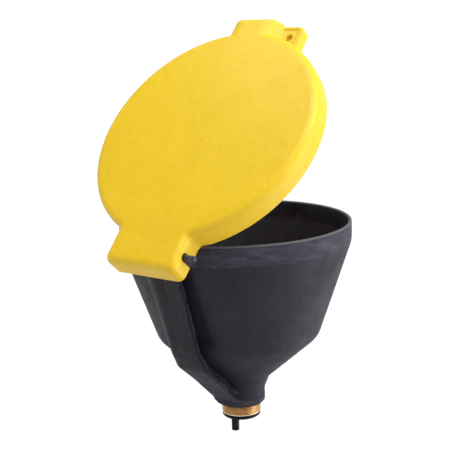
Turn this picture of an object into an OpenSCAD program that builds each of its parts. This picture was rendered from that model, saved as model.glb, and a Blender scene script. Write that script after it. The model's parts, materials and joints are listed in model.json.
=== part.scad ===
// Drum funnel with a hinged lid, an air vent duct and a threaded brass outlet.
// Z runs up the funnel's axis. The hinge and the duct are at +Y, the latch at -Y.
// Z = 0 is the lower end of the brass thread. Sizes are in millimetres.

/* [Bowl] */
// Outer radius of the rim band
rim_r = 173.5; // [170:0.5:173.5]
// Height of the rim's top
rim_z = 301.2; // [300.5:0.1:301.2]
// Height of the lower edge of the rim band
band_z = 272.7; // [268:0.1:274]
// Outer radius where the steep cone meets the flat cone
crease_r = 123; // [118:0.5:126]
// Height where the steep cone meets the flat cone
crease_z = 127.3; // [124:0.1:130]
// Wall thickness of the bowl
wall = 4.6; // [4:0.1:5.5]

/* [Neck] */
// Outer radius of the neck
neck_r = 37.4; // [36:0.1:39]
// Height of the neck's lower face
neck_z = 16.2; // [14:0.1:18]
// Height where the neck starts to flare
flare_z = 39.3; // [38:0.1:41]
// Outer radius at the top of the flare
flare_r = 45.6; // [44:0.1:47]
// Height of the top of the flare
flare_top_z = 59.5; // [57:0.1:61]

/* [Brass fitting] */
// Outer radius of the thread
thread_r = 30.15; // [30.15:0.01:30.15]
// Outer radius of the shank inside the neck
shank_r = 29; // [28.8:0.1:29.4]
// Inner radius of the fitting
brass_bore_r = 25.6; // [25:0.1:26]
// Height of the fitting's upper end, inside the neck
brass_top_z = 45; // [40:0.5:46]

/* [Vent duct] */
// Width of the duct's outer face
duct_w = 50; // [46:1:54]
// Sideways offset of the duct from the hinge centre
duct_x = -3; // [-4:0.5:0]
// Depth of the creases moulded beside the duct
crease_depth = 8; // [4:0.5:9]
// Width of the creases moulded beside the duct
crease_w = 10; // [6:0.5:11]
// Distance of the vent tube from the funnel's axis
tube_y = 16.5; // [15:0.1:16.5]
// Outer radius of the vent tube
tube_r = 6; // [5:0.1:6]
// Height of the vent tube's lower end
tube_bottom_z = -27; // [-60:1:-15]

/* [Lid] */
// Outer radius of the lid's skirt
lid_r = 179.3; // [179:0.1:181]
// Height of the closed lid's top face at its edge
lid_top_z = 307.5; // [307.5:0.1:309]
// Depth of the skirt from the top face
skirt_h = 33.5; // [30:0.5:34]
// Wall thickness of the lid
lid_wall = 4.2; // [3.6:0.1:4.2]
// Rise of the lid's middle above its edge
crown_h = 3; // [0:0.5:5]
// Angle that the lid stands open at rest
open_angle = 47.5; // [0:0.5:85]

/* [Hinge] */
// Distance of the hinge axis from the funnel's axis
hinge_y = 195; // [194:0.5:196]
// Height of the hinge axis
hinge_z = 293; // [292:0.1:293]
// Radius of the hinge pin
pin_r = 4; // [3.5:0.1:4]
// Outer width of the hood
hood_w = 124; // [120:1:130]
// Distance of the hood's end from the funnel's axis
hood_y = 223; // [220:0.5:226]
// Length of pin that stands out of the hood
pin_stub = 18; // [8:1:22]

/* [Latch] */
// Distance of the latch block's end from the funnel's axis
latch_y = 207; // [204:0.5:209]
// Width of the latch block's top
latch_w = 62; // [54:1:66]
// Radius of the padlock hole
padlock_r = 5.5; // [4:0.1:6]

/* [Hidden] */
$fn = 96;
e = 0.01;                                   // overlap that joins or cuts cleanly

charcoal = "#2b2b30";
yellow = "#f2cf2e";
brass_colour = "#c9973f";
rubber = "#1d1d1f";
steel = "#8e9195";

// Bowl
cone_slope = (rim_r - crease_r) / (band_z - crease_z);
flat_slope = (crease_r - flare_r) / (crease_z - flare_top_z);
flat_wall = 6.6;                            // the wall of the flat cone, measured level
neck_round = 5;                             // rounding of the neck's lower edge
rim_round = 2;                              // rounding of the rim's top
dimple_r = 30;
dimple_depth = 2;

// Duct
duct_side = duct_w / 2;
duct_wall = 4.5;
tube_hole_z = 74;                           // height where the elbow enters the duct
elbow_r = 8;
elbow_bend = 16;
barb_r = 6;
vent_window_w = 30;

// O-ring grooves in the fitting's shank
groove_depth = 1.3;
groove_h = 2.6;
lower_groove_z = 24;
upper_groove_z = 34;

// Outlet
ring_z = -6.2;
ring_r = 29.6;
ring_bore_r = 22.4;
sleeve_z = 13;
seal_h = 1;
grommet_r = 7.6;
socket_r = 9.4;

// Strainer
strainer_z = 90;
strainer_gap = 0.4;
screen_r = 63;
screen_h = 1.2;
mesh_hole_r = 2.6;
mesh_pitch = 8;

// Lid
skirt_z = lid_top_z - skirt_h;
skirt_wall = 3.4;
under_z = lid_top_z - lid_wall;
edge_round = 5;
hood_side = hood_w / 2;
hood_round = 10;
bush_r = 5.5;
bush_gap = 0.05;
bush_flange_r = 8;
bush_flange_h = 1.5;
ear_in = 30;
ear_out = 54;
ear_r = 8;

// Latch
latch_low_w = latch_w + 28;                 // width of the latch block at the padlock ear's level
ear_drop = 19;                              // from the lid's top face to the padlock ear's top face
tab_x = -83;
tab_round = 14;
padlock_x = -60;
padlock_y = -183;
lug_gap = 0.6;

function arc(cx, cy, r, a0, a1, n = 8) = [for (i = [0 : n]) let (a = a0 + (a1 - a0) * i / n)
    [cx + r * cos(a), cy + r * sin(a)]];
// Outer radius of the bowl at a height
function outer_r(z) = z > band_z ? rim_r : z > crease_z ? crease_r + cone_slope * (z - crease_z)
    : flare_r + flat_slope * (z - flare_top_z);
// Distance of the duct's outer face from the axis, at the heights where it bends
duct_face = [[176, 272], [157.5, 215], [136.5, 134], [124.5, 104], [87, 72], [48.5, 35], [35, 26]];

// Section of the bowl's outside, from the axis outwards
module outer_section() {
    polygon(concat([[0, neck_z], [neck_r - neck_round, neck_z]],
        arc(neck_r - neck_round, neck_z + neck_round, neck_round, -90, 0),
        [[neck_r, flare_z], [flare_r, flare_top_z], [crease_r, crease_z], [rim_r, band_z]],
        arc(rim_r - rim_round, rim_z - rim_round, rim_round, 0, 90, 6),
        [[0, rim_z]]));
}

// Section of the bowl's inside
module inner_section() {
    polygon([[0, neck_z - 1], [shank_r, neck_z - 1], [shank_r, brass_top_z + 1],
        [flare_r - flat_wall, flare_top_z + 1], [crease_r - flat_wall * 0.8, crease_z + 2],
        [rim_r - wall, band_z], [rim_r - wall, rim_z - 1.6], [rim_r - wall + 1.6, rim_z + e],
            [0, rim_z + 1]]);
}

// A plate in the YZ plane, centred on x, from an outline of [y, z] points
module side_plate(points, x, w) {
    translate([x - w / 2, 0, 0]) rotate([90, 0, 90]) linear_extrude(w) polygon(points);
}

// The duct's raised face, down to inside the bowl's wall
module duct_block() {
    side_plate(concat(duct_face, [[30, 26], [30, 50], [52, 72], [86, 98], [112, 128], [132, 215],
        [147, 272], [150, 287], [170, 292], [172, 285]]), duct_x, duct_w);
}

// Thickens the bowl's wall behind the moulded creases
module crease_backing() {
    depth = crease_depth + 2 * wall;
    side_plate([[outer_r(crease_z) - 1, crease_z - 1], [rim_r - 2, band_z], [rim_r - 2, 287],
        [rim_r - depth, 283], [outer_r(265) - depth, 265], [outer_r(136) - depth, 136],
            [outer_r(crease_z) - depth + 2, crease_z - 1]],
        duct_x, duct_w + 2 * crease_w + 12);
}

// One tapering crease beside the duct, along the steep cone
module duct_crease(side) {
    bottom = 142;
    length = (band_z - bottom) / cos(atan(cone_slope));
    translate([duct_x, outer_r(bottom), bottom]) rotate([-atan(cone_slope), 0, 0])
        linear_extrude(length) polygon([[side * (duct_side - e), -crease_depth],
            [side * (duct_side + crease_w), -1.5], [side * (duct_side + crease_w), 14],
                [side * (duct_side - e), 14]]);
}

// The air channel inside the duct
module duct_channel() {
    side_plate([[171, 272], [152.8, 215], [131.8, 134.5], [119, 106], [80.5, 73], [53, 47], [41, 47],
        [41, 51],
        [62, 74.5], [96, 104], [110, 120], [116.5, 134], [137.5, 215], [151, 272], [155, 285], [166, 285]],
        duct_x, duct_w - 2 * duct_wall);
    // Window into the bowl, just under the rim
    translate([duct_x - vent_window_w / 2, 135, 262]) cube([vent_window_w, 25, 20]);
}

// Two ears that carry the hinge pin, on the rim's outside
module hinge_ears() {
    for (side = [-1, 1]) {
        x = side * (ear_in + ear_out) / 2;
        side_plate([[160, rim_z - 0.2], [hinge_y, rim_z - 0.2], [hinge_y, hinge_z - ear_r], [177, 277],
            [168, 266], [158, 266]], x, ear_out - ear_in);
        translate([x, hinge_y, hinge_z]) rotate([0, 90, 0])
            cylinder(r = ear_r, h = ear_out - ear_in, center = true);
    }
}

// Locating lug under the latch block, and the drilled lug for the padlock
module front_lugs() {
    lug_top = rim_z - 8;
    side_plate([[-168, lug_top], [-194, lug_top - 4], [-194, 276], [-168, 262]], 0, 40);
    tab_z = skirt_z - lug_gap;
    difference() {
        translate([padlock_x, padlock_y, tab_z - 12]) union() {
            cylinder(r = tab_round, h = 12);
            translate([-tab_round, 0, 0]) cube([2 * tab_round, 24, 12]);
        }
        translate([0, 0, tab_z - 13]) cylinder(r = rim_r - 3, h = 14);
    }
}

module funnel_body() {
    color(charcoal) difference() {
        union() {
            difference() {
                rotate_extrude($fn = 180) outer_section();
                rotate_extrude($fn = 180) inner_section();
            }
            intersection() {
                union() {
                    duct_block();
                    crease_backing();
                }
                translate([0, 0, neck_z + 2]) cylinder(r = 190, h = 270);
            }
            hinge_ears();
            front_lugs();
        }
        duct_channel();
        for (side = [-1, 1]) duct_crease(side);
        // Bore of the hinge ears
        translate([-ear_out - 1, hinge_y, hinge_z]) rotate([0, 90, 0])
            cylinder(r = pin_r, h = 2 * ear_out + 2);
        // Padlock hole
        translate([padlock_x, padlock_y, skirt_z - 20]) cylinder(r = padlock_r, h = 30);
        // Hole where the vent elbow enters the duct
        translate([0, 44, tube_hole_z]) rotate([-90, 0, 0]) cylinder(r = barb_r, h = 26);
        // Keeps the neck's bore round below the duct
        translate([0, 0, neck_z - 1]) cylinder(r = shank_r, h = brass_top_z + 2 - neck_z);
        // Dimple inside the wall behind the front lug
        translate([0, -rim_r + wall + dimple_r - dimple_depth, 282]) sphere(r = dimple_r);
    }
}

module brass_fitting() {
    color(brass_colour) rotate_extrude() difference() {
        polygon([[brass_bore_r, 0], [thread_r, 0], [thread_r, neck_z], [shank_r, neck_z],
            [shank_r, brass_top_z], [brass_bore_r, brass_top_z]]);
        for (z = [lower_groove_z, upper_groove_z]) translate([shank_r - groove_depth, z])
            square([2, groove_h]);
    }
}

// A ring of rubber that fills one groove of the shank
module neck_o_ring(z) {
    color(rubber) rotate_extrude() translate([shank_r - groove_depth + e, z + 0.1])
        square([groove_depth - e, groove_h - 0.2]);
}

module lower_neck_o_ring() {
    neck_o_ring(lower_groove_z);
}

module upper_neck_o_ring() {
    neck_o_ring(upper_groove_z);
}

module outlet_seal() {
    color(rubber) rotate_extrude() translate([brass_bore_r + 0.2, -seal_h]) square([2.9, seal_h]);
}

module outlet_ring() {
    round_r = 3.5;
    color(charcoal) difference() {
        union() {
            rotate_extrude() polygon(concat([[ring_bore_r, ring_z], [ring_r - round_r, ring_z]],
                arc(ring_r - round_r, ring_z + round_r, round_r, -90, 0),
                [[ring_r, -seal_h], [brass_bore_r - 0.05, -seal_h], [brass_bore_r - 0.05, sleeve_z],
                [ring_bore_r, sleeve_z]]));
            intersection() {
                translate([0, tube_y, ring_z]) cylinder(r = socket_r, h = sleeve_z - ring_z);
                translate([0, 0, ring_z]) cylinder(r = ring_bore_r + 1, h = sleeve_z - ring_z);
            }
        }
        translate([0, tube_y, ring_z - 1]) cylinder(r = grommet_r, h = sleeve_z - ring_z + 2);
    }
}

module vent_tube_grommet() {
    color(rubber) translate([0, tube_y, ring_z + 1]) difference() {
        cylinder(r = grommet_r - e, h = sleeve_z - ring_z - 1);
        translate([0, 0, -1]) cylinder(r = tube_r + e, h = sleeve_z - ring_z + 1);
    }
}

module vent_tube() {
    top = tube_hole_z - elbow_bend - 1;
    color(charcoal) translate([0, tube_y, tube_bottom_z]) difference() {
        cylinder(r = tube_r, h = top - tube_bottom_z);
        translate([0, 0, -1]) cylinder(r = tube_r - 2, h = top - tube_bottom_z + 2);
    }
}

module vent_elbow() {
    bend_z = tube_hole_z - elbow_bend;
    socket = 14;
    color(charcoal) {
        difference() {
            union() {
                translate([0, tube_y, bend_z - socket]) cylinder(r = elbow_r, h = socket);
                translate([0, tube_y + elbow_bend, bend_z]) rotate([90, 0, -90]) rotate_extrude(angle = 90)
                    translate([elbow_bend, 0]) circle(r = elbow_r);
                translate([0, tube_y + elbow_bend, tube_hole_z]) rotate([-90, 0, 0])
                    cylinder(r = elbow_r, h = 6);
                translate([0, tube_y + elbow_bend, tube_hole_z]) rotate([-90, 0, 0])
                    cylinder(r = barb_r - e, h = 36);
            }
            translate([0, tube_y, bend_z - socket - 1]) cylinder(r = tube_r + e, h = socket);
            translate([0, tube_y, bend_z - 2]) cylinder(r = tube_r - 2, h = 2 + e);
            translate([0, tube_y + elbow_bend, bend_z]) rotate([90, 0, -90]) rotate_extrude(angle = 90)
                translate([elbow_bend, 0]) circle(r = tube_r - 2);
            translate([0, tube_y + elbow_bend - e, tube_hole_z]) rotate([-90, 0, 0])
                cylinder(r = tube_r - 2, h = 38);
        }
    }
}

// Inner radius of the flat cone at a height
function seat_r(z) = flare_r - flat_wall + (crease_r - flat_wall * 0.8 - flare_r + flat_wall)
    / (crease_z + 2 - flare_top_z - 1) * (z - flare_top_z - 1);

module strainer_frame() {
    top = strainer_z + 5;
    bar = 7;
    color(charcoal) {
        rotate_extrude($fn = 180) polygon([[screen_r - 3, strainer_z + screen_h],
            [screen_r, strainer_z + screen_h],
            [screen_r, strainer_z], [seat_r(strainer_z) - strainer_gap, strainer_z],
            [seat_r(top) - strainer_gap, top], [seat_r(top) - 6, top], [screen_r - 3, strainer_z + 3]]);
        // Lifting bar across the middle
        difference() {
            union() {
                translate([-bar / 2, -screen_r + 1, strainer_z + screen_h])
                    cube([bar, 2 * screen_r - 2, 4]);
                translate([-bar / 2, 0, strainer_z + 5]) rotate([0, 90, 0]) cylinder(r = 20, h = bar);
            }
            translate([-bar, 0, strainer_z + 5]) rotate([0, 90, 0]) cylinder(r = 13, h = 2 * bar);
            translate([-bar, -30, strainer_z - 30]) cube([2 * bar, 60, 30 + screen_h]);
        }
        translate([-bar / 2, -14, strainer_z + screen_h]) cube([bar, 28, 3]);
    }
}

module strainer_screen() {
    rows = floor((screen_r - 8) / (mesh_pitch * sqrt(3) / 2));
    color(steel) difference() {
        translate([0, 0, strainer_z]) cylinder(r = screen_r, h = screen_h);
        for (j = [-rows : rows]) for (i = [-8 : 8]) {
            x = (i + (j % 2 == 0 ? 0 : 0.5)) * mesh_pitch;
            y = j * mesh_pitch * sqrt(3) / 2;
            if (norm([x, y]) < screen_r - 8 && abs(x) > 5.9)
                translate([x, y, strainer_z - 1]) cylinder(r = mesh_hole_r, h = screen_h + 2, $fn = 16);
        }
    }
}

module hinge_pin() {
    tip = 1;
    right = -hood_side - pin_stub;
    left = hood_side + 4;
    color(charcoal) translate([0, hinge_y, hinge_z]) rotate([90, 0, 90]) rotate_extrude()
        polygon([[0, right],
        [pin_r - tip, right], [pin_r, right + tip], [pin_r, left - tip], [pin_r - tip, left], [0, left]]);
}

// Push-on rings beside the ears that stop the pin from sliding out
module pin_clips() {
    clip_h = 1.2;
    clip_r = 7;
    for (side = [-1, 1]) color(steel) translate([side * (ear_out + 0.2 + clip_h / 2), hinge_y, hinge_z])
        rotate([0, 90, 0]) difference() {
            cylinder(r = clip_r, h = clip_h, center = true);
            cylinder(r = pin_r + e, h = 2 * clip_h, center = true);
        }
}

// Turns the closed lid to its rest position
module opened() {
    translate([0, hinge_y, hinge_z]) rotate([-open_angle, 0, 0]) translate([0, -hinge_y, -hinge_z])
        children();
}

// A bush that fills the slot in the hood's side, with its flange inside the hood
module hinge_bush(side) {
    inside = hood_side - lid_wall - bush_flange_h;
    color(charcoal) opened() translate([side * inside, hinge_y, hinge_z]) rotate([0, side * 90, 0])
        difference() {
        union() {
            cylinder(r = bush_flange_r, h = bush_flange_h);
            cylinder(r = bush_r, h = bush_flange_h + lid_wall);
        }
        translate([0, 0, -1]) cylinder(r = pin_r + bush_gap, h = bush_flange_h + lid_wall + 2);
    }
}

module hinge_bush_left() {
    hinge_bush(1);
}

module hinge_bush_right() {
    hinge_bush(-1);
}

// Plan of the hood, with rounded outer corners, drawn in by a wall's thickness
module hood_plan(inset) {
    r = hood_round - inset;
    w = hood_side - inset;
    y = hood_y - inset;
    translate([-w, 140]) square([2 * w, y - 140 - r]);
    translate([-w + r, 140]) square([2 * (w - r), y - 140]);
    for (side = [-1, 1]) translate([side * (w - r), y - r]) circle(r = r);
}

// Outside of the lid's cap, with its crowned top
module cap_section() {
    crown_r = (lid_r * lid_r + crown_h * crown_h) / (2 * crown_h);
    flat_r = lid_r - edge_round;
    polygon(concat([[0, skirt_z], [lid_r, skirt_z]], arc(flat_r, lid_top_z - edge_round, edge_round, 0, 90),
        [for (i = [7 : -1 : 0]) let (x = flat_r * i / 8)
            [x, lid_top_z + sqrt(crown_r * crown_r - x * x) - crown_r + crown_h]]));
}

module cap_hollow() {
    inner_r = lid_r - skirt_wall;
    polygon([[0, skirt_z - 1], [inner_r, skirt_z - 1], [inner_r, under_z - 3], [inner_r - 3, under_z],
        [150, under_z],
        [120, under_z + crown_h * 0.45], [60, under_z + crown_h * 0.85], [0, under_z + crown_h]]);
}

// Outside of the latch block, wider at the padlock ear's level
module latch_block(inset) {
    top = lid_top_z - inset;
    ear = lid_top_z - ear_drop;
    w = latch_w / 2 - inset;
    low_w = latch_low_w / 2 - inset;
    drop = inset > 0 ? 1 : 0;
    translate([0, -150, 0]) rotate([90, 0, 0]) linear_extrude(latch_y - 150 - inset)
        polygon([[-w, top], [w, top], [low_w, ear], [low_w, skirt_z - drop], [-low_w, skirt_z - drop],
            [-low_w, ear]]);
}

// Thin tab beside the latch block that takes the padlock
module padlock_ear() {
    low = skirt_z;
    height = lid_top_z - ear_drop - low;
    outer_y = latch_y - 4;
    translate([0, 0, low]) linear_extrude(height) {
        translate([tab_x + tab_round, -outer_y]) square([60, outer_y - 150]);
        translate([tab_x, -outer_y + tab_round]) square([60, outer_y - 150 - tab_round]);
        translate([tab_x + tab_round, -outer_y + tab_round]) circle(r = tab_round);
    }
}

// Space that the rim sweeps beside the hood as the lid turns, round the hinge axis
module rim_relief() {
    steps = 9;
    x0 = hood_side - lid_wall - 1;
    x1 = 112;
    clear = 0.6;
    points = [for (i = [0 : steps]) let (x = x0 + (x1 - x0) * i / steps)
        [hinge_y - sqrt(rim_r * rim_r - x * x) - clear, x]];
    for (side = [0, 1]) mirror([side, 0, 0]) intersection() {
        translate([0, hinge_y, hinge_z]) rotate([90, 0, 90])
            rotate_extrude() polygon(concat(points, [[110, x1], [110, x0]]));
        translate([x0 - 1, hinge_y - 90, skirt_z - 5]) cube([x1 - x0 + 2, 90, hinge_z - skirt_z + 2]);
    }
}

module lid_shell() {
    slot_z = skirt_z - 1;
    color(yellow) opened() difference() {
        union() {
            rotate_extrude($fn = 180) cap_section();
            translate([0, 0, skirt_z]) linear_extrude(skirt_h) hood_plan(0);
            latch_block(0);
            padlock_ear();
        }
        rotate_extrude($fn = 180) cap_hollow();
        translate([0, 0, skirt_z - 1]) linear_extrude(under_z - skirt_z + 1) intersection() {
            hood_plan(lid_wall);
            translate([-hood_side, 150]) square([hood_w, 100]);
        }
        intersection() {
            latch_block(lid_wall);
            translate([-100, -250, skirt_z - 2]) cube([200, 100, under_z - skirt_z + 2]);
        }
        // Pocket and hole of the padlock ear
        translate([-73, -latch_y + 9, lid_top_z - ear_drop - 4]) cube([73 - latch_low_w / 2, 30, 10]);
        translate([padlock_x, padlock_y, skirt_z - 1]) cylinder(r = padlock_r, h = 30);
        // Slots that drop over the hinge bushes, open at the lower edge
        for (side = [-1, 1]) {
            x = side * (hood_side - lid_wall / 2);
            translate([x, hinge_y, hinge_z]) rotate([0, 90, 0])
                cylinder(r = bush_r, h = lid_wall + 2, center = true);
            translate([x - lid_wall / 2 - 1, hinge_y - bush_r, slot_z])
                cube([lid_wall + 2, 2 * bush_r, hinge_z - slot_z]);
        }
        rim_relief();
    }
}

module lid_gasket() {
    gap = 0.35;
    strip_w = 7;
    color(rubber) opened() rotate_extrude($fn = 180) translate([rim_r - strip_w - 1, rim_z + gap])
        square([strip_w, under_z - rim_z - gap]);
}

funnel_body();
brass_fitting();
lower_neck_o_ring();
upper_neck_o_ring();
outlet_seal();
outlet_ring();
vent_tube_grommet();
vent_tube();
vent_elbow();
strainer_frame();
strainer_screen();
hinge_pin();
pin_clips();
hinge_bush_left();
hinge_bush_right();
lid_shell();
lid_gasket();
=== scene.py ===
"""Drum funnel with a hinged lid: the looks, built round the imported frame.

The moulded shells are built from distance functions: each shape is a function that is negative
inside the solid, and shell_mesh() finds its surface on a grid. Lengths in these functions are
in millimetres, as in the part's source, and meshes are scaled to metres when they are made.
"""

import json
import math

import bpy
import bmesh
import numpy as np
from mathutils import Matrix, Vector


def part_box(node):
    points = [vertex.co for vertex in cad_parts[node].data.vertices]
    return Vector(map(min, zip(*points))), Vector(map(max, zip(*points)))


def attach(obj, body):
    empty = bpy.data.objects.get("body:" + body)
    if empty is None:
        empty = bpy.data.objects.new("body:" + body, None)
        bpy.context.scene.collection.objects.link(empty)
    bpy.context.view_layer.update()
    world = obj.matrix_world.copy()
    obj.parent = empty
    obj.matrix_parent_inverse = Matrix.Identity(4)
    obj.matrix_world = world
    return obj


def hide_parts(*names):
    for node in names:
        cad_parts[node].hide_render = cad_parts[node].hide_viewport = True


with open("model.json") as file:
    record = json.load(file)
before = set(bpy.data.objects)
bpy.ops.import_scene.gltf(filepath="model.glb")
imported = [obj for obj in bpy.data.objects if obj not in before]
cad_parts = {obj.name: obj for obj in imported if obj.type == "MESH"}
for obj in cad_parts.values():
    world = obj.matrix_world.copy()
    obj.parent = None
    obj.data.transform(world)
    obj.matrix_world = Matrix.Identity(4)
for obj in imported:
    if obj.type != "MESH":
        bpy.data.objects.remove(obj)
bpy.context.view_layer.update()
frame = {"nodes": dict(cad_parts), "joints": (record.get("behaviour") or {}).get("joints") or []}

MM = 0.001


# ---------------------------------------------------------------- sizes

def box_mm(node):
    """Lowest and highest corner of a CAD node, in millimetres."""
    low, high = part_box(node)
    return np.array(low) / MM, np.array(high) / MM


BODY_LOW, BODY_HIGH = box_mm("funnel_body")
BRASS_HIGH = box_mm("brass_fitting")[1]
HINGE = next(j for j in frame["joints"] if j["name"] == "lid_hinge")
HINGE_Y, HINGE_Z = HINGE["pos_m"][1] / MM, HINGE["pos_m"][2] / MM
OPEN_ANGLE = -HINGE["range_deg"][0]         # the lid stands this far open at rest

RIM_R = BODY_HIGH[0]
NECK_Z, RIM_Z = BODY_LOW[2], BODY_HIGH[2]
BAND_Z = 272.7
CREASE_R, CREASE_Z = 123, 127.3             # where the steep cone meets the flat one
FLARE_R, FLARE_TOP_Z = 45.6, 59.5
NECK_R, FLARE_Z = 37.4, 39.3
WALL = 4.6
FLAT_WALL = 6.6
SHANK_R = 29
DUCT_X, DUCT_HALF = -3, 25
DUCT_EDGE = DUCT_X - DUCT_HALF             # the side beside the crease
# The duct's outer face: heights, and how far out it stands at each
DUCT_FACE_Z = [26, 35, 72, 104, 134, 215, 272]
DUCT_FACE_Y = [35, 48.5, 87, 124.5, 136.5, 157.5, 176]
CREASE_DEPTH, CREASE_W = 9, 30
UNDERCUT = 12                               # how far the duct's side leans in behind its face
EAR_IN, EAR_OUT, EAR_R = 30, 54, 8
PIN_HOLE_R = 4.05
WINDOW_HALF, WINDOW_Z = 15, (262, 282)      # the opening where the vent breathes into the bowl
DIMPLE_R, DIMPLE_Z = 30, 282
BRASS_BORE_R = 25.6
THREAD_PITCH, THREAD_DEPTH = 2.2, 0.6
THREAD_SIDES, THREAD_ROWS = 144, 96
FLASH_LOW, FLASH_HIGH, FLASH_STEP = 60, 268, 1.5
FLASH_TORN = ((218, 4.0), (157, 5.0))       # heights where the flash has torn away, and how far

LID_R = 179.3
LID_TOP_Z = 307.5
SKIRT_Z = 274
LID_WALL = 4.2
SKIRT_WALL = 3.4
CROWN_H = 3                                 # how much the lid's middle stands above its edge
HOOD_HALF, HOOD_Y = 62, 223
LATCH_HALF, LATCH_LOW_HALF, LATCH_Y = 31, 45, 207
EAR_TOP_Z = LID_TOP_Z - 19
PADLOCK_X, PADLOCK_Y, PADLOCK_R = -60, -183, 5.5
BUSH_R = 5.5
SWEEP_R, SWEEP_X = 110, 112                 # how far the rim reaches beside the hood as the lid turns

SHELL_CELL, SHELL_FACES = 1.5, 190000
LID_CELL, LID_FACES = 1.4, 180000


# ---------------------------------------------------------------- distance functions

def union(a, b, k=0.0):
    """Two solids joined, with a fillet of about k where they meet."""
    if np.isscalar(k) and not k:
        return np.minimum(a, b)
    h = np.maximum(k - np.abs(a - b), 0) / k
    return np.minimum(a, b) - h * h * k / 4


def both(a, b, k=0.0):
    """What is in both solids, with its edge rounded by about k."""
    return -union(-a, -b, k)


def without(a, b, k=0.0):
    """Solid a with solid b cut away, with the cut's edge rounded by about k."""
    return both(a, -b, k)


def line(r, z, p, q):
    """Distance of (r, z) outside the line from p up to q."""
    slope = (q[0] - p[0]) / (q[1] - p[1])
    return (r - p[0] - slope * (z - p[1])) / math.hypot(1, slope)


def slab(value, low, high):
    """Distance outside the range from low to high."""
    return np.abs(value - (low + high) / 2) - (high - low) / 2


def block(x, y, z, low, high, k=0.0):
    """A box with rounded edges."""
    sides = both(slab(x, low[0], high[0]), slab(y, low[1], high[1]), k)
    return both(sides, slab(z, low[2], high[2]), k)


def eased(z, at, values, reach=4.0):
    """The values along z, with their corners rounded over a short reach."""
    return sum(np.interp(z + s * reach, at, values) for s in (-1, -0.5, 0, 0.5, 1)) / 5


# ---------------------------------------------------------------- meshes from distance functions

CORNERS = [(i, j, k) for i in (0, 1) for j in (0, 1) for k in (0, 1)]
EDGES = [(a, b) for a in range(8) for b in range(a + 1, 8)
         if sum(abs(m - n) for m, n in zip(CORNERS[a], CORNERS[b])) == 1]


def net(distance, low, high, cell):
    """Points and quads of the surface where distance is zero, a point in each cell it crosses."""
    count = np.ceil((np.array(high) - low) / cell).astype(int) + 1
    axes = [low[k] + cell * np.arange(count[k]) for k in range(3)]
    grid = np.meshgrid(*[a.astype(np.float32) for a in axes], indexing="ij", sparse=True)
    values = np.broadcast_to(distance(*grid), count).astype(np.float32)
    inside = values < 0
    cells = tuple(count - 1)
    held = np.zeros(cells, np.int8)
    for c in CORNERS:
        held += inside[c[0]:c[0] + cells[0], c[1]:c[1] + cells[1], c[2]:c[2] + cells[2]]
    active = np.argwhere((held > 0) & (held < 8))
    number = np.full(cells, -1, np.int32)
    number[tuple(active.T)] = np.arange(len(active))

    total = np.zeros((len(active), 3))
    crossings = np.zeros(len(active))
    for a, b in EDGES:
        start, end = np.array(CORNERS[a]), np.array(CORNERS[b])
        va = values[tuple((active + start).T)]
        vb = values[tuple((active + end).T)]
        cross = (va < 0) != (vb < 0)
        t = np.where(cross, va / np.where(cross, va - vb, 1), 0)
        total += np.where(cross[:, None], start + t[:, None] * (end - start), 0)
        crossings += cross
    points = low + cell * (active + total / crossings[:, None])

    quads = []
    for axis in range(3):
        u, v = (axis + 1) % 3, (axis + 2) % 3
        step = np.eye(3, dtype=int)
        inner = [slice(1, count[k] - 1) for k in range(3)]
        inner[axis] = slice(0, count[axis] - 1)
        first = inside[tuple(inner)]
        inner[axis] = slice(1, count[axis])
        second = inside[tuple(inner)]
        at = np.argwhere(first != second)
        at[:, u] += 1
        at[:, v] += 1
        outward = first[tuple((at - step[u] - step[v]).T)]
        ring = [number[tuple((at - du * step[u] - dv * step[v]).T)]
                for du, dv in ((1, 1), (0, 1), (0, 0), (1, 0))]
        quad = np.stack(ring, 1)
        quad[~outward] = quad[~outward][:, ::-1]
        quads.append(quad)
    return points, np.concatenate(quads)


def pull_to_surface(distance, points, reach):
    """Moves points along the slope of distance to where it is zero, by at most reach."""
    h = 0.05
    x, y, z = points.T
    value = distance(x, y, z)
    slope = np.stack([(distance(x + h, y, z) - distance(x - h, y, z)),
                      (distance(x, y + h, z) - distance(x, y - h, z)),
                      (distance(x, y, z + h) - distance(x, y, z - h))], 1) / (2 * h)
    step = -value[:, None] * slope / np.maximum((slope ** 2).sum(1), 0.05)[:, None]
    length = np.linalg.norm(step, axis=1, keepdims=True)
    return points + step * np.minimum(1, reach / np.maximum(length, 1e-9))


def evened(points, quads):
    """Each point halfway to the middle of its neighbours."""
    total = np.zeros_like(points)
    count = np.zeros(len(points))
    for a in range(4):
        b = (a + 1) % 4
        np.add.at(total, quads[:, a], points[quads[:, b]])
        np.add.at(total, quads[:, b], points[quads[:, a]])
        np.add.at(count, quads[:, a], 1)
        np.add.at(count, quads[:, b], 1)
    return (points + total / count[:, None]) / 2


def mesh_object(name, points, faces):
    """A smooth-shaded object from points in millimetres."""
    mesh = bpy.data.meshes.new(name)
    mesh.from_pydata((np.asarray(points) * MM).tolist(), [], np.asarray(faces).tolist())
    mesh.validate()
    mesh.polygons.foreach_set("use_smooth", [True] * len(mesh.polygons))
    piece = bpy.data.objects.new(name, mesh)
    bpy.context.scene.collection.objects.link(piece)
    return piece


def apply_modifiers(piece):
    """Makes the result of a piece's modifiers its mesh."""
    depsgraph = bpy.context.evaluated_depsgraph_get()
    mesh = bpy.data.meshes.new_from_object(piece.evaluated_get(depsgraph))
    piece.modifiers.clear()
    piece.data = mesh


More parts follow.
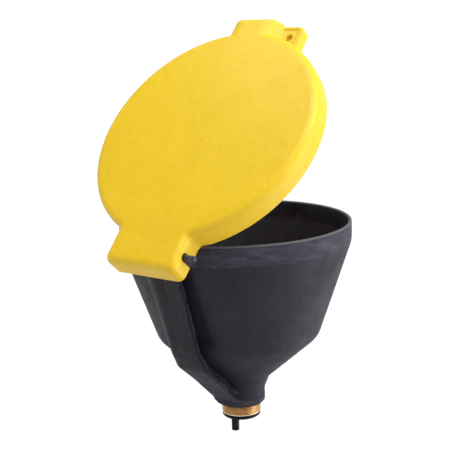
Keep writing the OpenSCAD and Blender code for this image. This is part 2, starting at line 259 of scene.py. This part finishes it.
def shell_mesh(name, distance, low, high, cell, faces):
    """A closed piece with the surface of a distance function, thinned to about that many triangles."""
    points, quads = net(distance, np.array(low, float), np.array(high, float), cell)
    for _ in range(3):
        points = evened(points, quads)
        points = pull_to_surface(distance, points, cell / 2)
    points = pull_to_surface(distance, points, cell / 2)
    piece = mesh_object(name, points, quads)
    if 2 * len(quads) > faces:
        thin = piece.modifiers.new("thin", "DECIMATE")
        thin.ratio = faces / (2 * len(quads))
        apply_modifiers(piece)
        piece.data.polygons.foreach_set("use_smooth", [True] * len(piece.data.polygons))
    return piece


# ---------------------------------------------------------------- the bowl

def bowl_outside(r, z):
    """The bowl of revolution, solid to its axis, with no top or bottom."""
    neck = r - NECK_R
    flare = line(r, z, (NECK_R, FLARE_Z), (FLARE_R, FLARE_TOP_Z))
    flat = line(r, z, (FLARE_R, FLARE_TOP_Z), (CREASE_R, CREASE_Z))
    steep = line(r, z, (CREASE_R, CREASE_Z), (RIM_R, BAND_Z))
    lower = union(neck, union(flare, flat, 1.5), 1.5)
    return both(lower, both(steep, r - RIM_R, 2), 4)


def bowl_inside(r, z):
    """The hollow of the bowl, with no top or bottom."""
    flat_low = (FLARE_R - FLAT_WALL, FLARE_TOP_Z + 1)
    flat_high = (CREASE_R - 0.8 * FLAT_WALL, CREASE_Z + 2)
    throat = line(r, z, (SHANK_R, BRASS_HIGH[2] + 1), flat_low)
    flat = line(r, z, flat_low, flat_high)
    steep = line(r, z, flat_high, (RIM_R - WALL, BAND_Z))
    lower = union(r - SHANK_R, union(throat, flat, 4), 2)
    return both(lower, both(steep, r - RIM_R + WALL, 2), 6)


def duct_edge(z):
    """Where the duct's side beside the crease stands: further out on the flat cone."""
    return DUCT_EDGE - np.interp(z, [55, 75, 115, 140], [2, 6, 6, 0])


def duct_outside(x, y, z):
    """The vent's duct: undercut beside the crease, and blended into the cone on its other side."""
    face = (y - eased(z, DUCT_FACE_Z, DUCT_FACE_Y)) * 0.93
    undercut = np.clip(-0.86 * face, 0, np.interp(z, [105, 130], [3 * UNDERCUT, UNDERCUT]))
    undercut = undercut * np.interp(z, [28, 42, 262, 274], [0, 1, 1, 0])
    crease_side = duct_edge(z) + undercut - x
    far_side = x - (DUCT_X + DUCT_HALF + 6)
    ends = slab(z, 26, 275)
    return both(both(both(face, crease_side, 4), far_side, 16), both(ends, 10 - y), 2)


def crease_groove(x, z):
    """How deep the crease beside the duct sinks below the cone, at a place."""
    beside = DUCT_EDGE - x
    across = np.clip(1 - beside / CREASE_W, 0, 1) * np.clip((beside + 25) / 10, 0, 1)
    along = np.interp(z, [126, 146, 264, 276], [0, 1, 1, 0])
    return CREASE_DEPTH * across ** 2 * (3 - 2 * across) * along


def crease_backing(x, y, z, cone):
    """The thicker wall inside the bowl, behind the duct and its crease."""
    sides = slab(x, DUCT_EDGE - CREASE_W + 2, DUCT_X + DUCT_HALF + 12)
    behind = -cone - (CREASE_DEPTH + 1.3 * WALL)
    ends = both(CREASE_Z - 6 - z, z - 289, 6)
    return both(both(sides, behind, 8), both(ends, 10 - y), 4)


def duct_back(x, y, z):
    """The duct's own back wall, which stands into the flat cone."""
    back_y = eased(z, [30, 50, 72, 98, 128, 215, 272, 290], [26, 30, 52, 86, 112, 132, 147, 153])
    sides = np.abs(x - DUCT_X) - DUCT_HALF
    return both(both(back_y - y, sides, 5), both(50 - z, z - 290), 5)


def hinge_ears(x, y, z):
    """The two ears that hold the pin, under the hood."""
    sides = slab(np.abs(x), EAR_IN, EAR_OUT)
    knuckle = np.hypot(y - HINGE_Y, z - HINGE_Z) - EAR_R
    under = both((276 - z) * 0.8 + (y - 177) * 0.35, y - HINGE_Y)
    arm = both(both(under, 165 - y), z - RIM_Z + 2)
    solid = both(sides, union(knuckle, arm, 2), 2)
    return without(solid, np.hypot(y - HINGE_Y, z - HINGE_Z) - PIN_HOLE_R)


def front_lugs(x, y, z):
    """The catch under the latch block, and the lug for the padlock."""
    top = z - (RIM_Z - 8) - (y + 168) * 0.15
    low = 262 - z - (y + 168) * 0.54
    catch = both(both(slab(x, -20, 20), both(top, low), 3), slab(y, -194, -165), 3)
    tab_z = SKIRT_Z - 0.6
    plan = np.hypot(x - PADLOCK_X, y - PADLOCK_Y) - 14
    plan = union(plan, both(slab(x, PADLOCK_X - 14, PADLOCK_X + 14), slab(y, PADLOCK_Y, -150)))
    tab = both(plan, slab(z, tab_z - 12, tab_z), 2)
    return union(catch, tab)


def funnel_shell(x, y, z):
    """The whole black moulding."""
    r = np.hypot(x, y)
    cone = bowl_outside(r, z)
    beside = y > 0
    grooved = cone + np.where(beside, crease_groove(x, z), 0)
    outside = both(grooved, both(NECK_Z - z, z - RIM_Z), 1.5)
    outside = both(outside, NECK_Z - z, 6)
    duct = duct_outside(x, y, z)
    fillet = np.maximum(np.interp(x, [DUCT_X, DUCT_X + 20], [2.5, 16]), np.interp(z, [44, 60], [14, 2.5]))
    outside = union(outside, duct, fillet)
    hollow = bowl_inside(r, z)
    hollow = without(hollow, crease_backing(x, y, z, cone), 4)
    hollow = without(hollow, duct_back(x, y, z), 4)
    window_low = (DUCT_X - WINDOW_HALF, 100, WINDOW_Z[0])
    window_high = (DUCT_X + WINDOW_HALF, 171, WINDOW_Z[1])
    window = block(x, y, z, window_low, window_high, 1.5)
    hollow = union(hollow, window, 1)
    solid = without(outside, hollow, 1.6)
    solid = union(solid, without(hinge_ears(x, y, z), cone + 2), 3)
    solid = union(solid, without(front_lugs(x, y, z), cone + 2), 2)
    solid = without(solid, np.hypot(x - PADLOCK_X, y - PADLOCK_Y) - PADLOCK_R, 1)
    dimple_y = WALL + DIMPLE_R - 2 - RIM_R
    dimple = np.sqrt(x ** 2 + (y - dimple_y) ** 2 + (z - DIMPLE_Z) ** 2) - DIMPLE_R
    return without(solid, dimple, 2)


# ---------------------------------------------------------------- the lid, closed

def lid_top(r):
    """Height of the lid's faintly domed top."""
    return LID_TOP_Z + CROWN_H * (1 - np.minimum(r / LID_R, 1) ** 2)


def hood_plan(x, y, inset):
    """The hood over the hinge, from above, drawn in by inset."""
    return both(np.abs(x) - HOOD_HALF + inset, y - HOOD_Y + inset, 12)


def latch_half(z):
    """Half the width of the latch block at a height."""
    return np.interp(z, [EAR_TOP_Z, LID_TOP_Z], [LATCH_LOW_HALF, LATCH_HALF])


def rim_sweep(x, y, z):
    """Space that the rim sweeps beside the hood as the lid turns."""
    from_hinge = np.hypot(y - HINGE_Y, z - HINGE_Z)
    near = HINGE_Y - np.sqrt(np.maximum(RIM_R ** 2 - x ** 2, 1)) - 0.6
    aside = slab(np.abs(x), HOOD_HALF - LID_WALL - 1, SWEEP_X)
    place = both(slab(y, HINGE_Y - 90, HINGE_Y), slab(z, SKIRT_Z - 9, HINGE_Z))
    return both(both(near - from_hinge, from_hinge - SWEEP_R), both(aside, place))


def lid_closed(x, y, z):
    """The whole yellow moulding, closed."""
    r = np.hypot(x, y)
    top = z - lid_top(r)
    hood = both(hood_plan(x, y, 0), 140 - y)
    latch = both(np.abs(x) * 0.8 - latch_half(z) * 0.8, both(-LATCH_Y - y, y + 150), 5)
    plan = union(union(r - LID_R, hood, 6), latch, 5)
    tab = both(slab(x, -83, -23), -203 - y, 16)
    tab = both(both(tab, y + 150), z - EAR_TOP_Z, 2.5)
    outside = union(both(plan, top, 12), tab, 3)
    outside = both(outside, SKIRT_Z - z, 1.2)
    under = top + LID_WALL
    hollow = r - LID_R + SKIRT_WALL
    hollow = union(hollow, both(hood_plan(x, y, LID_WALL), 150 - y))
    bolt = both(np.abs(x) - latch_half(z) + LID_WALL, both(-LATCH_Y + LID_WALL - y, y + 150))
    hollow = both(union(hollow, bolt, 1), under, 10)
    solid = without(outside, hollow, 1.6)
    pocket_low, pocket_high = (-73, -198, EAR_TOP_Z - 1.5), (-LATCH_LOW_HALF - 1, -170, EAR_TOP_Z + 9)
    pocket = block(x, y, z, pocket_low, pocket_high, 2.5)
    solid = without(solid, both(pocket, LID_R + 1 - r), 1.5)
    solid = without(solid, np.hypot(x - PADLOCK_X, y - PADLOCK_Y) - PADLOCK_R, 1)
    from_hinge = np.hypot(y - HINGE_Y, z - HINGE_Z) - BUSH_R
    mouth = both(np.abs(y - HINGE_Y) - BUSH_R, z - HINGE_Z)
    slot = both(union(from_hinge, mouth), slab(np.abs(x), HOOD_HALF - LID_WALL - 2, HOOD_HALF + 3))
    return without(without(solid, slot, 0.8), rim_sweep(x, y, z))


def opened(points):
    """Points of the closed lid, turned to where it stands at rest."""
    angle = math.radians(-OPEN_ANGLE)
    y, z = points[:, 1] - HINGE_Y, points[:, 2] - HINGE_Z
    return np.stack([points[:, 0], HINGE_Y + y * math.cos(angle) - z * math.sin(angle),
                     HINGE_Z + y * math.sin(angle) + z * math.cos(angle)], 1)


# ---------------------------------------------------------------- turned pieces and strips

def turned(name, outline, centre, axis="Z", sides=96):
    """A closed ring or rod: an outline of (radius, height) points turned about an axis through centre."""
    points, faces = [], []
    rows = len(outline)
    for i in range(sides):
        a = 2 * math.pi * i / sides
        points += [(r * math.cos(a), r * math.sin(a), h) for r, h in outline]
    for i in range(sides):
        for j in range(rows):
            here, there = i * rows, (i + 1) % sides * rows
            faces.append((here + j, there + j, there + (j + 1) % rows, here + (j + 1) % rows))
    points = np.array(points, float)
    if axis == "X":
        points = points[:, [2, 0, 1]]
    piece = mesh_object(name, points + np.array(centre), faces)
    tidy_ends(piece)
    return piece


def tidy_ends(piece):
    """Joins points that meet on a turned piece's axis, turns its faces outwards and marks sharp edges."""
    work = bmesh.new()
    work.from_mesh(piece.data)
    bmesh.ops.remove_doubles(work, verts=work.verts, dist=1e-6)
    bmesh.ops.dissolve_degenerate(work, edges=work.edges, dist=1e-7)
    bmesh.ops.recalc_face_normals(work, faces=work.faces)
    work.to_mesh(piece.data)
    work.free()
    piece.data.set_sharp_from_angle(angle=math.radians(40))


def rounded(outline, radius, steps=4):
    """A closed outline with each corner turned into a small arc."""
    result = []
    n = len(outline)
    for i in range(n):
        p, a, b = (np.array(outline[j % n], float) for j in (i, i - 1, i + 1))
        to_a, to_b = a - p, b - p
        near = min(radius, np.linalg.norm(to_a) / 2, np.linalg.norm(to_b) / 2)
        start = p + to_a / np.linalg.norm(to_a) * near
        end = p + to_b / np.linalg.norm(to_b) * near
        for s in range(steps + 1):
            t = s / steps
            result.append(tuple((1 - t) ** 2 * start + 2 * t * (1 - t) * p + t ** 2 * end))
    return result


def rounded_ring(node, wall, edge):
    """A tube or ring of a CAD node's size with its edges rounded, upright about the node's middle."""
    low, high = box_mm(node)
    outer = (high[0] - low[0]) / 2
    inner = outer - wall
    outline = rounded([(inner, low[2]), (outer, low[2]), (outer, high[2]), (inner, high[2])], edge)
    return turned(node + "_rounded", outline, ((low[0] + high[0]) / 2, (low[1] + high[1]) / 2, 0))


def rounded_pin():
    """The hinge pin along X, with its ends rounded over."""
    low, high = box_mm("hinge_pin")
    r = (high[2] - low[2]) / 2
    end = [(0, 0), (0.7 * r, 0), (0.88 * r, 0.25), (0.97 * r, 0.7), (r, 1.3)]
    outline = [(radius, low[0] + depth) for radius, depth in end]
    outline += [(radius, high[0] - depth) for radius, depth in reversed(end)]
    return turned("hinge_pin_rounded", outline, (0, HINGE_Y, HINGE_Z), "X", 48)


def brass_thread():
    """The brass outlet: a helix of ridges on a fine grid, then the plain shank inside the neck."""
    top = NECK_Z
    radius = BRASS_HIGH[0]
    points, faces = [], []
    rows = [0.5 + (top - 0.9) * i / THREAD_ROWS for i in range(THREAD_ROWS + 1)]
    heights = [0.0] + rows + [top]
    for i in range(THREAD_SIDES):
        turn = i / THREAD_SIDES
        a = 2 * math.pi * turn
        ring = [(BRASS_BORE_R, 0.0)]
        for z in heights:
            phase = (z / THREAD_PITCH - turn) % 1.0
            ridge = 1 - abs(2 * phase - 1)
            run_out = min(1, max(0, (z - 1.2) / 1.5)) * min(1, max(0, (top - 1.0 - z) / 2.0))
            chamfer = 0.9 * max(0, 1.0 - z)
            groove = THREAD_DEPTH * run_out * (1 - min(1, 1.25 * ridge))
            ring.append((radius - chamfer - groove, z))
        ring += [(SHANK_R, top + 0.05), (SHANK_R, BRASS_HIGH[2]), (BRASS_BORE_R, BRASS_HIGH[2])]
        points += [(r * math.cos(a), r * math.sin(a), z) for r, z in ring]
    count = len(heights) + 4
    for i in range(THREAD_SIDES):
        here, there = i * count, (i + 1) % THREAD_SIDES * count
        for j in range(count):
            k = (j + 1) % count
            faces.append((here + j, there + j, there + k, here + k))
    piece = mesh_object("brass_outlet", points, faces)
    tidy_ends(piece)
    return piece


def parting_flash():
    """The ragged fin of trimmed flash down the duct's edge, with two places where it has torn away."""
    random = np.random.default_rng(7)
    count = int((FLASH_HIGH - FLASH_LOW) / FLASH_STEP)
    ragged = np.convolve(random.normal(0, 1, count + 4), [0.25, 0.5, 0.25], "same")[:count]
    points, faces = [], []
    for i in range(count):
        z = FLASH_LOW + i * FLASH_STEP
        y = eased(z, DUCT_FACE_Z, DUCT_FACE_Y)
        side = duct_edge(z)
        torn = max(math.exp(-((z - place) / reach) ** 2) for place, reach in FLASH_TORN)
        ends = min(1, (z - FLASH_LOW) / 10, (FLASH_HIGH - z) / 10)
        width = (3.0 + ragged[i]) * max(0, ends) - 4.0 * torn
        tip = side - max(width, 0.2)
        points += [(side + 3, y - 3.4, z), (tip, y - 2.9, z), (tip - 0.2, y - 2.2, z), (side + 3, y - 1.6, z)]
    for i in range(count - 1):
        a, b = 4 * i, 4 * i + 4
        faces += [(a + j, a + (j + 1) % 4, b + (j + 1) % 4, b + j) for j in range(4)]
    faces += [(3, 2, 1, 0), tuple(4 * (count - 1) + j for j in range(4))]
    return mesh_object("parting_flash", points, faces)


# ---------------------------------------------------------------- materials

class Finish:
    """A material with short calls for its nodes. Places on the surface are in metres."""

    def __init__(self, name):
        self.material = bpy.data.materials.new(name)
        self.material.use_nodes = True
        self.tree = self.material.node_tree
        self.shader = self.tree.nodes["Principled BSDF"]
        self.place = self.tree.nodes.new("ShaderNodeTexCoord").outputs["Object"]

    def plug(self, socket, value):
        if isinstance(value, bpy.types.NodeSocket):
            self.tree.links.new(value, socket)
        elif value is not None:
            socket.default_value = value

    def stretched(self, x, y, z):
        node = self.tree.nodes.new("ShaderNodeMapping")
        node.inputs["Scale"].default_value = (x, y, z)
        self.plug(node.inputs["Vector"], self.place)
        return node.outputs["Vector"]

    def noise(self, scale, detail=3.0, rough=0.5, place=None, distort=0.0):
        node = self.tree.nodes.new("ShaderNodeTexNoise")
        node.inputs["Scale"].default_value = scale
        node.inputs["Detail"].default_value = detail
        node.inputs["Roughness"].default_value = rough
        node.inputs["Distortion"].default_value = distort
        self.plug(node.inputs["Vector"], place or self.place)
        return node.outputs["Fac"]

    def ranged(self, value, low, high, to_low=0.0, to_high=1.0):
        node = self.tree.nodes.new("ShaderNodeMapRange")
        self.plug(node.inputs["Value"], value)
        node.inputs["From Min"].default_value = low
        node.inputs["From Max"].default_value = high
        node.inputs["To Min"].default_value = to_low
        node.inputs["To Max"].default_value = to_high
        return node.outputs["Result"]

    def maths(self, operation, a, b=None):
        node = self.tree.nodes.new("ShaderNodeMath")
        node.operation = operation
        self.plug(node.inputs[0], a)
        self.plug(node.inputs[1], b)
        return node.outputs[0]

    def times(self, *values):
        result = values[0]
        for value in values[1:]:
            result = self.maths("MULTIPLY", result, value)
        return result

    def length(self, a, b):
        squares = self.maths("ADD", self.maths("MULTIPLY", a, a), self.maths("MULTIPLY", b, b))
        return self.maths("SQRT", squares)

    def mixed(self, share, a, b):
        node = self.tree.nodes.new("ShaderNodeMix")
        node.data_type = "RGBA"
        self.plug(node.inputs["Factor"], share)
        for socket, value in ((node.inputs["A"], a), (node.inputs["B"], b)):
            self.plug(socket, (*value, 1.0) if isinstance(value, tuple) else value)
        return node.outputs["Result"]

    def part(self, name):
        node = self.tree.nodes.new("ShaderNodeSeparateXYZ")
        self.plug(node.inputs[0], self.place)
        return node.outputs[name]

    def bump(self, height, distance, strength=1.0, below=None):
        node = self.tree.nodes.new("ShaderNodeBump")
        node.inputs["Strength"].default_value = strength
        node.inputs["Distance"].default_value = distance
        self.plug(node.inputs["Height"], height)
        self.plug(node.inputs["Normal"], below)
        return node.outputs["Normal"]

    def finish(self, **sockets):
        for name, value in sockets.items():
            socket = self.shader.inputs[name.replace("_", " ")]
            self.plug(socket, (*value, 1.0) if isinstance(value, tuple) else value)
        return self.material


def charcoal_plastic():
    """Moulded black polyethylene: cloudy, faintly streaked down the wall, and scuffed pale in the band below
    the rim, that band's even lightening partly painted light; a painted highlight line runs along the rim's
    top edge, and painted warm bounce light tints the duct's side of the front.
    """
    f = Finish("charcoal_moulded_plastic")
    height = f.part("Z")
    radius = f.length(f.part("X"), f.part("Y"))
    outside = f.ranged(radius, 0.1705, 0.1715)
    clouds = f.ranged(f.noise(14, 4, 0.6), 0.3, 0.7)
    streaks = f.ranged(f.noise(3.0, 4, 0.6, f.stretched(26, 26, 2.2)), 0.38, 0.68)
    specks = f.ranged(f.noise(170, 3, 0.6), 0.35, 0.75)
    colour = f.mixed(clouds, (0.0110, 0.0095, 0.0143), (0.0195, 0.0167, 0.0245))
    colour = f.mixed(f.maths("MULTIPLY", streaks, 0.3), colour, (0.027, 0.023, 0.032))
    colour = f.mixed(f.maths("MULTIPLY", specks, 0.15), colour, (0.030, 0.027, 0.036))

    # Painted light: the warm brownish tint over the duct face and the bowl's front beside it stands in for
    # yellow light bounced from the lid; the pale scratches on it are real
    on_duct = f.maths("MULTIPLY", f.ranged(f.part("Y"), 0.120, 0.128), f.ranged(f.part("X"), -0.026, -0.016))
    scratches = f.ranged(f.noise(2.0, 3, 0.55, f.stretched(190, 60, 3.2)), 0.63, 0.68)
    colour = f.mixed(f.maths("MULTIPLY", on_duct, 0.5), colour, (0.022, 0.0175, 0.016))
    colour = f.mixed(f.times(on_duct, scratches, 0.35), colour, (0.11, 0.095, 0.085))

    # Pale band below the rim: the rubbed patches are real scuffing, and the even lightening of the whole band
    # is partly painted light, as the upright band catches more light from above
    band = f.times(outside, f.ranged(height, 0.270, 0.276), f.ranged(height, 0.3, 0.296))
    rubbed = f.ranged(f.noise(30, 6, 0.7, f.stretched(1, 1, 3.4)), 0.45, 0.66)
    colour = f.mixed(f.maths("MULTIPLY", band, 0.3), colour, (0.048, 0.043, 0.062))
    colour = f.mixed(f.times(band, rubbed, 0.55), colour, (0.080, 0.073, 0.098))
    worn_line = f.times(outside, f.ranged(height, 0.2712, 0.2722), f.ranged(height, 0.2738, 0.2728))
    broken = f.ranged(f.noise(55, 4, 0.7), 0.5, 0.6)
    colour = f.mixed(f.times(worn_line, broken, 0.35), colour, (0.10, 0.09, 0.115))
    # Painted highlight: a pale line along the rim's rounded top edge, where bright surroundings would reflect
    rim_highlight = f.ranged(height, 0.2984, 0.2994)
    colour = f.mixed(f.maths("MULTIPLY", rim_highlight, 0.5), colour, (0.17, 0.165, 0.18))

    waves = f.noise(38, 2, 0.5)
    normal = f.bump(waves, 0.0012, 0.5)
    normal = f.bump(f.noise(430, 4, 0.65), 0.00022, 0.7, normal)
    rough = f.ranged(f.noise(30, 4, 0.6), 0.3, 0.7, 0.54, 0.72)
    return f.finish(Base_Color=colour, Roughness=rough, Normal=normal, Specular_IOR_Level=0.27,
                    Specular_Tint=(0.83, 0.77, 1.0))


def yellow_plastic():
    """Moulded yellow polyethylene: satin, with the faint cloudiness and orange peel of the mould."""
    f = Finish("yellow_moulded_plastic")
    clouds = f.ranged(f.noise(11, 4, 0.6), 0.3, 0.7)
    specks = f.ranged(f.noise(120, 3, 0.6), 0.35, 0.7)
    colour = f.mixed(clouds, (0.685, 0.433, 0.0036), (0.72, 0.468, 0.0054))
    colour = f.mixed(f.maths("MULTIPLY", specks, 0.12), colour, (0.97, 0.72, 0.10))
    normal = f.bump(f.noise(26, 2, 0.5), 0.0014, 0.5)
    normal = f.bump(f.noise(420, 3, 0.6), 0.0001, 0.5, normal)
    rough = f.ranged(f.noise(36, 4, 0.6), 0.3, 0.7, 0.38, 0.5)
    return f.finish(Base_Color=colour, Roughness=rough, Normal=normal, Specular_IOR_Level=0.4)


def black_plastic():
    """Small moulded fittings: smoother and blacker than the bowl."""
    f = Finish("black_fitting_plastic")
    colour = f.mixed(f.ranged(f.noise(90, 4, 0.6), 0.3, 0.7), (0.0025, 0.0025, 0.003), (0.006, 0.006, 0.007))
    normal = f.bump(f.noise(700, 3, 0.6), 0.00008, 0.6)
    rough = f.ranged(f.noise(120, 3, 0.6), 0.3, 0.7, 0.3, 0.46)
    return f.finish(Base_Color=colour, Roughness=rough, Normal=normal, Specular_IOR_Level=0.13)


def turned_brass():
    """Brass with lathe rings, a painted shadow just under the neck and a painted highlight on its lower edge.
    """
    f = Finish("turned_brass")
    tarnish = f.ranged(f.noise(24, 3, 0.5), 0.35, 0.7)
    colour = f.mixed(tarnish, (0.66, 0.40, 0.16), (0.46, 0.245, 0.085))
    height = f.part("Z")
    # Painted shadow: the top of the brass, just under the neck, is darkened where the neck's shade falls
    colour = f.mixed(f.ranged(height, 0.0115, 0.0150), colour, (0.20, 0.085, 0.025))
    # Painted highlight: a pale cream line on the brass's lower chamfer
    colour = f.mixed(f.ranged(height, 0.0019, 0.0012), colour, (0.98, 0.86, 0.68))
    rings = f.noise(2.0, 2, 0.5, f.stretched(8, 8, 1400))
    normal = f.bump(rings, 0.00003, 0.3)
    rough = f.ranged(f.noise(60, 3, 0.5), 0.3, 0.7, 0.24, 0.32)
    return f.finish(Base_Color=colour, Roughness=rough, Normal=normal, Metallic=1.0)


def seal_rubber():
    """Matt black rubber."""
    f = Finish("seal_rubber")
    colour = f.mixed(f.ranged(f.noise(140, 4, 0.6), 0.3, 0.7), (0.008, 0.008, 0.009), (0.022, 0.022, 0.024))
    normal = f.bump(f.noise(900, 2, 0.5), 0.00006, 0.7)
    rough = f.ranged(f.noise(200, 3, 0.6), 0.3, 0.7, 0.62, 0.8)
    return f.finish(Base_Color=colour, Roughness=rough, Normal=normal)


def brushed_steel():
    """Pale steel with fine brushed lines."""
    f = Finish("brushed_steel")
    lines = f.noise(3.0, 3, 0.6, f.stretched(6, 500, 500))
    colour = f.mixed(f.ranged(lines, 0.3, 0.7), (0.42, 0.43, 0.44), (0.56, 0.57, 0.58))
    normal = f.bump(lines, 0.00004, 0.5)
    rough = f.ranged(lines, 0.3, 0.7, 0.28, 0.44)
    return f.finish(Base_Color=colour, Roughness=rough, Normal=normal, Metallic=1.0)


def black_steel():
    """Steel with a black oxide finish that has worn through in spots."""
    f = Finish("black_oxide_steel")
    worn = f.ranged(f.noise(260, 4, 0.7), 0.5, 0.72)
    colour = f.mixed(worn, (0.030, 0.030, 0.036), (0.14, 0.135, 0.15))
    normal = f.bump(f.noise(500, 3, 0.6), 0.00006, 0.6)
    rough = f.ranged(f.noise(180, 3, 0.6), 0.3, 0.7, 0.3, 0.48)
    return f.finish(Base_Color=colour, Roughness=rough, Normal=normal, Metallic=0.35)


CHARCOAL, YELLOW, BLACK = charcoal_plastic(), yellow_plastic(), black_plastic()
BRASS, RUBBER, STEEL, PIN_STEEL = turned_brass(), seal_rubber(), brushed_steel(), black_steel()


def paint(piece, finish):
    piece.data.materials.clear()
    piece.data.materials.append(finish)


def stand_for(piece, body, finish, slot, *nodes):
    """A finished piece takes the place of CAD nodes."""
    paint(piece, finish)
    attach(piece, body)
    if nodes:
        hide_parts(*nodes)
    return piece


# ---------------------------------------------------------------- the pieces

shell = shell_mesh("funnel_shell", funnel_shell, (-178, -200, 12), (178, 206, 306), SHELL_CELL, SHELL_FACES)
stand_for(shell, "funnel", CHARCOAL, "body_plastic", "funnel_body")
stand_for(parting_flash(), "funnel", CHARCOAL, "body_plastic")
stand_for(brass_thread(), "funnel", BRASS, "brass", "brass_fitting")

lid = shell_mesh("lid_cap", lid_closed, (-184, -212, 270), (184, 228, 315), LID_CELL, LID_FACES)
spots = np.array([v.co for v in lid.data.vertices]) / MM
lid.data.vertices.foreach_set("co", (opened(spots) * MM).ravel())
lid.data.update()
stand_for(lid, "lid", YELLOW, "lid_plastic", "lid_shell")

for node, wall, edge in (("lower_neck_o_ring", 1.3, 0.6), ("upper_neck_o_ring", 1.3, 0.6),
                         ("outlet_seal", 2.9, 0.3), ("vent_tube_grommet", 1.6, 0.6)):
    stand_for(rounded_ring(node, wall, edge), "funnel", RUBBER, "seal_rubber", node)
stand_for(rounded_ring("vent_tube", 2, 0.7), "funnel", BLACK, "fitting_plastic", "vent_tube")
stand_for(rounded_pin(), "funnel", PIN_STEEL, "pin_steel", "hinge_pin")

for node, finish in (("lid_gasket", RUBBER), ("outlet_ring", BLACK), ("vent_elbow", BLACK),
                     ("strainer_frame", BLACK), ("strainer_screen", STEEL), ("pin_clips", PIN_STEEL),
                     ("hinge_bush_left", BLACK), ("hinge_bush_right", BLACK)):
    for slot in frame["nodes"][node].material_slots:
        slot.material = finish


# ---------------------------------------------------------------- camera, lights and floor

CAMERA_PLACE = Vector((-0.8956, 1.1886, 0.6053))
CAMERA_AIM = Vector((0.0124, 0.0096, 0.2948))
CAMERA_ROLL = -2.0
CAMERA_LENS = 80.97
OBJECT_MIDDLE = Vector((0, 0, 0.3))
CEILING = 0.3                               # how bright the world is overhead
FLOOR_HALF, FLOOR_Z = 200000, -1200


def look_at(item, place, aim, roll=0.0):
    item.location = place
    turn = (aim - place).to_track_quat("-Z", "Y").to_matrix().to_4x4()
    item.matrix_world = Matrix.Translation(place) @ turn @ Matrix.Rotation(math.radians(roll), 4, "Z")


def add_camera():
    """The camera, beside the funnel's hinge, looking a little down on it."""
    camera = bpy.data.objects.new("camera", bpy.data.cameras.new("camera"))
    bpy.context.scene.collection.objects.link(camera)
    camera.data.lens = CAMERA_LENS
    look_at(camera, CAMERA_PLACE, CAMERA_AIM, CAMERA_ROLL)
    bpy.context.scene.camera = camera


def from_camera(right, near, up):
    """A direction made of the camera's right, towards the camera, and up."""
    towards = CAMERA_PLACE * Vector((1, 1, 0))
    towards.normalize()
    return Vector((0, 0, 1)).cross(towards) * right + towards * near + Vector((0, 0, up))


def soft_light(name, place, size, power, colour=(1, 1, 1)):
    """A round softbox that looks at the object's middle."""
    lamp = bpy.data.objects.new(name, bpy.data.lights.new(name, "AREA"))
    bpy.context.scene.collection.objects.link(lamp)
    lamp.data.shape = "DISK"
    lamp.data.size = size
    lamp.data.energy = power
    lamp.data.color = colour
    look_at(lamp, OBJECT_MIDDLE + place, OBJECT_MIDDLE)


def overhead_sun(place, angle, strength):
    """Wide, soft light that falls on the object and on the whole floor alike."""
    lamp = bpy.data.objects.new("overhead_sun", bpy.data.lights.new("overhead_sun", "SUN"))
    bpy.context.scene.collection.objects.link(lamp)
    lamp.data.angle = math.radians(angle)
    lamp.data.energy = strength
    look_at(lamp, place, Vector((0, 0, 0)))


def add_world():
    """A studio that is white near the horizon and dim overhead."""
    world = bpy.data.worlds.new("studio")
    world.use_nodes = True
    tree = world.node_tree
    place = tree.nodes.new("ShaderNodeTexCoord").outputs["Generated"]
    parts = tree.nodes.new("ShaderNodeSeparateXYZ")
    fade = tree.nodes.new("ShaderNodeMapRange")
    fade.interpolation_type = "SMOOTHSTEP"
    for name, number in (("From Min", 0.08), ("From Max", 0.3), ("To Min", 1.05), ("To Max", CEILING)):
        fade.inputs[name].default_value = number
    tree.links.new(place, parts.inputs[0])
    tree.links.new(parts.outputs["Z"], fade.inputs["Value"])
    tree.links.new(fade.outputs["Result"], tree.nodes["Background"].inputs["Strength"])
    tree.nodes["Background"].inputs["Color"].default_value = (1, 1, 1, 1)
    bpy.context.scene.world = world


def add_floor():
    """A wide pale floor, far enough below that no cast shadow falls in view, with a painted grey shadow pool
    beneath the object.
    """
    finish = Finish("pale_floor")
    # Painted shadow: the floor is grey in a wide pool beneath the object and pale further out
    away = finish.ranged(finish.length(finish.part("X"), finish.part("Y")), 0.9, 2.0)
    colour = finish.mixed(away, (0.42, 0.42, 0.43), (0.96, 0.96, 0.96))
    finish.finish(Base_Color=colour, Roughness=0.95, Specular_IOR_Level=0.1)
    x, z = FLOOR_HALF, FLOOR_Z
    floor = mesh_object("floor", [(-x, -x, z), (x, -x, z), (x, x, z), (-x, x, z)], [(0, 1, 2, 3)])
    paint(floor, finish.material)


add_camera()
add_floor()
add_world()
overhead_sun(from_camera(0.1, 0.2, 1.0), 50, 2.46)
soft_light("right_front", from_camera(1.6, 0.6, 0.0), 1.3, 11)
soft_light("right_behind", from_camera(1.4, -0.25, -1.05), 1.2, 6.5)
soft_light("lid_side", from_camera(0.75, 0.25, 0.8), 0.6, 6.5, (0.82, 1.0, 0.9))
soft_light("lid_sheen", from_camera(-0.26, -0.16, 0.93), 0.4, 1.4, (0.82, 1.0, 0.9))
bpy.context.scene.view_settings.view_transform = "Standard"
